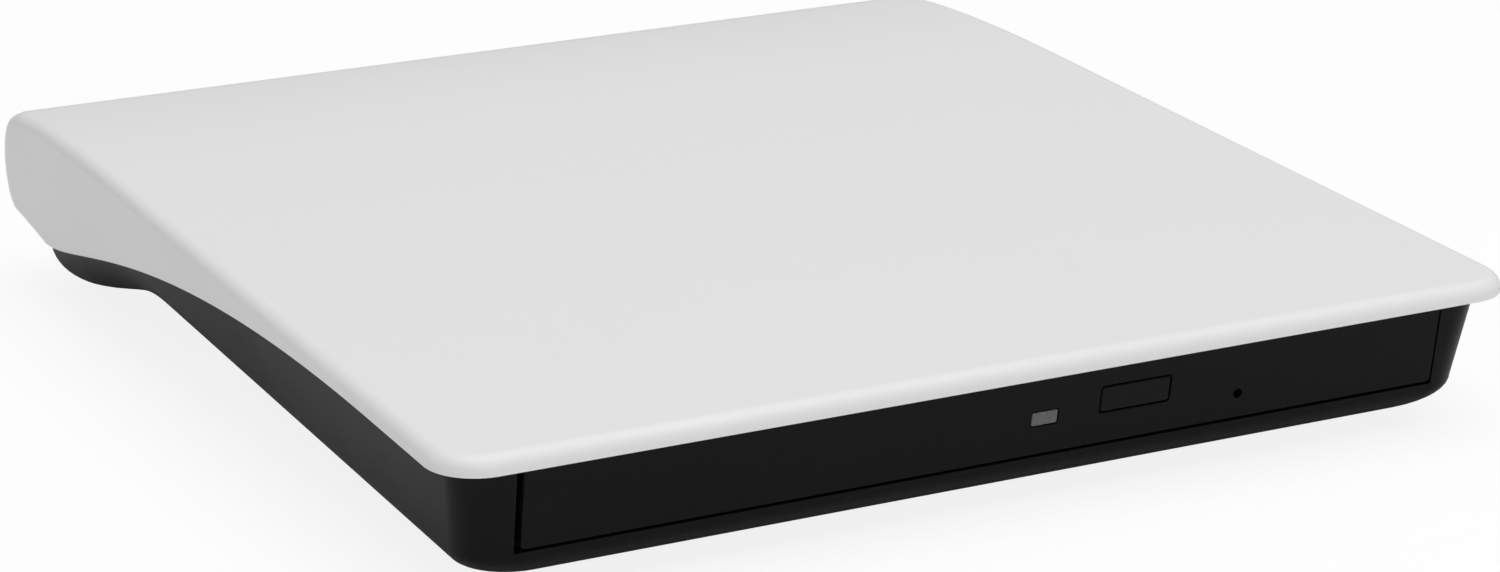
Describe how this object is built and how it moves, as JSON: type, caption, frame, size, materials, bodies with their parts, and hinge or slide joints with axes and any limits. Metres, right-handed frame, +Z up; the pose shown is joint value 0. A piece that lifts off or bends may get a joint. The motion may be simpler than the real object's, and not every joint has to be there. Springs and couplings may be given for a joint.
{
  "type": "external optical drive",
  "caption": "Slim external disc drive: rounded cover over a tapered base with a deep rear lobe, sliding disc tray with eject button, feet below.",
  "frame": {"origin": "centre of the bounding box in plan, on the table under the feet", "axes": "+X to the right, +Y from the front bezel to the rear, +Z up from the table"},
  "size_m": [0.148, 0.167, 0.0275],
  "materials": {
    "cover_white": "satin moulded, very fine texture",
    "case_black": "satin moulded",
    "foot_rubber": "matt",
    "plated_steel": "zinc plated sheet",
    "bright_steel": "polished",
    "connector_black": "moulded",
    "board_green": "solder mask",
    "tray_black": "fine moulded grain",
    "lens_grey": "translucent grey",
    "flex_film": "film",
    "die_cast": "die cast",
    "optic": "coated"
  },
  "bodies": {
    "case": {"top_cover": "cover_white", "base_shell": "case_black", "foot_front_left": "foot_rubber", "foot_front_right": "foot_rubber", "foot_rear_left": "foot_rubber", "foot_rear_right": "foot_rubber", "case_screw_left": "plated_steel", "case_screw_right": "plated_steel", "usb_socket": "plated_steel", "usb_tongue": "connector_black", "bridge_board": "board_green", "bridge_chip": "connector_black", "sata_plug": "connector_black", "sata_socket": "connector_black", "drive_chassis": "plated_steel", "drive_lid": "plated_steel", "chassis_rail_left": "tray_black", "chassis_rail_right": "tray_black", "drive_board": "board_green", "tray_ribbon": "flex_film", "latch_pin": "bright_steel", "ejector_guide": "tray_black"},
    "rail_left": {"slide_rail_left": "bright_steel"},
    "rail_right": {"slide_rail_right": "bright_steel"},
    "tray": {"disc_tray": "tray_black", "tray_rim": "tray_black", "tray_bezel": "case_black", "activity_lens": "lens_grey", "tray_board": "board_green", "eject_switch": "connector_black", "status_led": "lens_grey", "latch_pivot_pin": "bright_steel", "latch_solenoid": "die_cast", "spindle_motor": "plated_steel", "mechanism_frame": "plated_steel", "mechanism_plate": "bright_steel", "guide_rod_front": "bright_steel", "guide_rod_rear": "bright_steel", "feed_motor": "plated_steel"},
    "button": {"eject_button": "case_black"},
    "hub": {"disc_hub": "tray_black", "hub_claw_1": "lens_grey", "hub_claw_2": "lens_grey", "hub_claw_3": "lens_grey", "turntable_ring": "foot_rubber"},
    "sled": {"pickup_sled": "die_cast"},
    "lens": {"lens_holder": "connector_black", "objective_lens": "optic"},
    "screw": {"feed_screw": "bright_steel"},
    "latch": {"latch_lever": "plated_steel"},
    "plunger": {"solenoid_plunger": "bright_steel"},
    "ejector": {"ejector_pusher": "tray_black"}
  },
  "joints": [
    {"name": "tray_slide", "type": "slide", "parent": "case", "child": "tray", "axis": [0, -0.9984, -0.0571], "range_m": [0, 0.12]},
    {"name": "rail_slide_left", "type": "slide", "parent": "case", "child": "rail_left", "axis": [0, -0.9984, -0.0571], "range_m": [0, 0.06]},
    {"name": "rail_slide_right", "type": "slide", "parent": "case", "child": "rail_right", "axis": [0, -0.9984, -0.0571], "range_m": [0, 0.06]},
    {"name": "eject_button_press", "type": "slide", "parent": "tray", "child": "button", "axis": [0, 0.9984, 0.0571], "range_m": [0, 0.0005]},
    {"name": "spindle_spin", "type": "hinge", "parent": "tray", "child": "hub", "pos_m": [0.001, -0.01337, 0.01817], "axis": [0, -0.0571, 0.9984], "continuous": true},
    {"name": "sled_travel", "type": "slide", "parent": "tray", "child": "sled", "axis": [-0.6947, -0.7182, -0.0411], "range_m": [0, 0.03]},
    {"name": "lens_focus", "type": "slide", "parent": "sled", "child": "lens", "axis": [0, -0.0571, 0.9984], "range_m": [-0.0004, 0.0004]},
    {"name": "feed_screw_turn", "type": "hinge", "parent": "tray", "child": "screw", "pos_m": [-0.0101, -0.05378, 0.01155], "axis": [-0.6947, -0.7182, -0.0411], "range_deg": [0, 3600]},
    {"name": "latch_swing", "type": "hinge", "parent": "tray", "child": "latch", "pos_m": [0.046, -0.06893, 0.00878], "axis": [0, -0.0571, 0.9984], "range_deg": [0, 18]},
    {"name": "plunger_slide", "type": "slide", "parent": "tray", "child": "plunger", "axis": [0, 0.9984, 0.0571], "range_m": [0, 0.00173]},
    {"name": "ejector_push", "type": "slide", "parent": "case", "child": "ejector", "axis": [0, -0.9984, -0.0571], "range_m": [0, 0.004]}
  ],
  "couplings": [
    {"joint": "rail_slide_left", "follows": "tray_slide", "ratio": 0.5},
    {"joint": "rail_slide_right", "follows": "tray_slide", "ratio": 0.5},
    {"joint": "ejector_push", "follows": "tray_slide", "ratio": 0.033333},
    {"joint": "feed_screw_turn", "follows": "sled_travel", "rad_per_m": 2094.4},
    {"joint": "latch_swing", "follows": "plunger_slide", "rad_per_m": 181.8}
  ]
}
